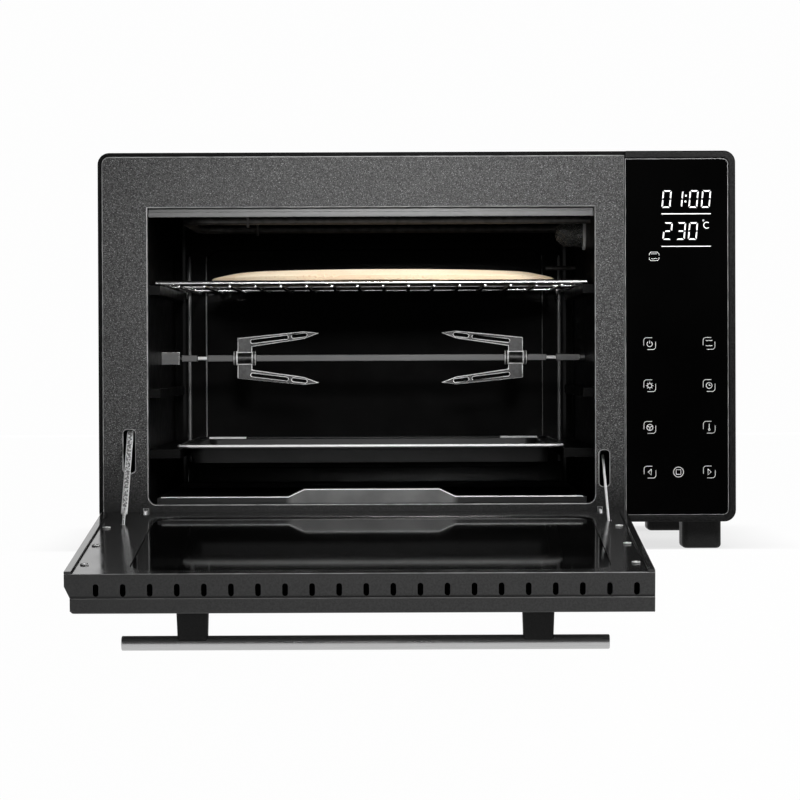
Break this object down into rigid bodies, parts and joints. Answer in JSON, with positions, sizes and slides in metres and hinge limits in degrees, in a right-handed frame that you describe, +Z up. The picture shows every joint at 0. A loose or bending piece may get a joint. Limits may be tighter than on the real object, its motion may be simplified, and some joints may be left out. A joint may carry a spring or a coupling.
{
  "type": "rotisserie oven",
  "caption": "Free-standing countertop oven with a drop-down glazed door, touch control column, turning spit with forks, wire rack with stone, baking tray and crumb tray.",
  "frame": {"origin": "middle of the front left foot's sole, on the surface the oven stands on", "axes": "+X to the oven's right as seen from the front, +Y to its back, +Z up; the door opens towards -Y"},
  "size_m": [0.55, 0.7091, 0.4033],
  "materials": {
    "shell_paint": "fine satin black paint",
    "base_steel": "plain galvanised sheet, low sheen",
    "black_plastic": "moulded, fine grain",
    "bright_steel": "bright plated steel",
    "plain_steel": "plain rolled steel",
    "frame_paint": "dark grey speckled paint",
    "door_paint": "plain dark grey paint, low sheen",
    "door_gloss": "glossy dark grey enamel",
    "enamel": "glossy black enamel",
    "heater_sheath": "dark oxidised sheath",
    "ceramic": null,
    "clear_glass": "clear moulded glass",
    "tinted_glass": "dark tinted pane",
    "control_glass": "back-printed black glass, mirror smooth",
    "circuit_board": "green resin board",
    "motor_zinc": "zinc plated",
    "stone": null,
    "handle_steel": "brushed along its length",
    "display": "dark window with lit figures"
  },
  "bodies": {
    "oven": {"outer_shell": "shell_paint", "base_plate": "base_steel", "rear_panel": "shell_paint", "cord_bushing": "black_plastic", "rear_screws": "plain_steel", "front_frame": "frame_paint", "cavity_left_wall": "enamel", "cavity_right_wall": "enamel", "cavity_roof": "enamel", "cavity_floor": "enamel", "cavity_back_wall": "enamel", "upper_heater": "heater_sheath", "heater_clips": "heater_sheath", "lower_heater": "heater_sheath", "heater_saddles": "plain_steel", "lamp_holder": "ceramic", "lamp_bulb": "clear_glass", "lamp_cover": "clear_glass", "lamp_ring": "bright_steel", "temperature_probe": "plain_steel", "spit_motor": "motor_zinc", "spit_support": "plain_steel", "fan_cover": "motor_zinc", "fan_motor": "motor_zinc", "control_bezel": "door_paint", "control_glass": "control_glass", "touch_board": "circuit_board", "display_module": "display", "power_board": "circuit_board", "foot_front_left": "black_plastic", "foot_front_right": "black_plastic", "foot_rear_left": "black_plastic", "foot_rear_right": "black_plastic", "hinge_tab_left": "bright_steel", "hinge_tab_right": "bright_steel"},
    "door": {"door_inner_pan": "door_gloss", "door_inner_glass": "tinted_glass", "door_outer_frame": "door_paint", "door_outer_glass": "tinted_glass", "door_rails": "door_gloss", "door_screws": "bright_steel", "hinge_pins": "bright_steel", "arm_lugs": "plain_steel", "handle_post_left": "black_plastic", "handle_post_right": "black_plastic", "handle_bar": "handle_steel", "handle_screws": "plain_steel"},
    "stay_left": {"arm_left": "bright_steel"},
    "stay_right": {"arm_right": "bright_steel"},
    "rack": {"wire_rack": "bright_steel"},
    "stone": {"pizza_stone": "stone"},
    "tray": {"baking_tray": "enamel"},
    "crumb_pan": {"crumb_tray": "enamel"},
    "spit": {"spit_rod": "bright_steel", "drive_socket": "plain_steel"},
    "left_fork": {"fork_left": "bright_steel"},
    "left_screw": {"thumb_screw_left": "bright_steel"},
    "right_fork": {"fork_right": "bright_steel"},
    "right_screw": {"thumb_screw_right": "bright_steel"},
    "fan": {"fan_wheel": "plain_steel"}
  },
  "joints": [
    {"name": "door_hinge", "type": "hinge", "parent": "oven", "child": "door", "pos_m": [0.247, -0.0405, 0.0285], "axis": [-1, 0, 0], "range_deg": [0, 95.75]},
    {"name": "stay_left_pivot", "type": "hinge", "parent": "door", "child": "stay_left", "pos_m": [-0.0012, -0.10219, 0.02229], "axis": [-1, 0, 0], "range_deg": [-49.36, 0]},
    {"name": "stay_right_pivot", "type": "hinge", "parent": "door", "child": "stay_right", "pos_m": [0.4086, -0.09025, 0.02349], "axis": [-1, 0, 0], "range_deg": [-60.66, 0]},
    {"name": "rack_slide", "type": "slide", "parent": "oven", "child": "rack", "axis": [0, 1, 0], "range_m": [-0.18, 0]},
    {"name": "stone_lift", "type": "slide", "parent": "rack", "child": "stone", "axis": [0, 0, 1], "range_m": [0, 0.015]},
    {"name": "tray_slide", "type": "slide", "parent": "oven", "child": "tray", "axis": [0, 1, 0], "range_m": [-0.2, 0]},
    {"name": "crumb_slide", "type": "slide", "parent": "oven", "child": "crumb_pan", "axis": [0, 1, 0], "range_m": [-0.25, 0]},
    {"name": "spit_spin", "type": "hinge", "parent": "oven", "child": "spit", "pos_m": [0.247, 0.1325, 0.1666], "axis": [1, 0, 0], "continuous": true},
    {"name": "fork_left_slide", "type": "slide", "parent": "spit", "child": "left_fork", "axis": [1, 0, 0], "range_m": [-0.02, 0.06]},
    {"name": "screw_left_turn", "type": "hinge", "parent": "left_fork", "child": "left_screw", "pos_m": [0.09025, 0.1325, 0.1666], "axis": [0, 1, 0], "range_deg": [-180, 0]},
    {"name": "fork_right_slide", "type": "slide", "parent": "spit", "child": "right_fork", "axis": [1, 0, 0], "range_m": [-0.04, 0.015]},
    {"name": "screw_right_turn", "type": "hinge", "parent": "right_fork", "child": "right_screw", "pos_m": [0.33825, 0.1325, 0.1666], "axis": [0, 1, 0], "range_deg": [-180, 0]},
    {"name": "fan_spin", "type": "hinge", "parent": "oven", "child": "fan", "pos_m": [0.422, 0.2225, 0.184], "axis": [1, 0, 0], "continuous": true}
  ],
  "couplings": [
    {"joint": "stay_left_pivot", "follows": "door_hinge", "ratio": -0.5154},
    {"joint": "stay_right_pivot", "follows": "door_hinge", "ratio": -0.63342}
  ]
}
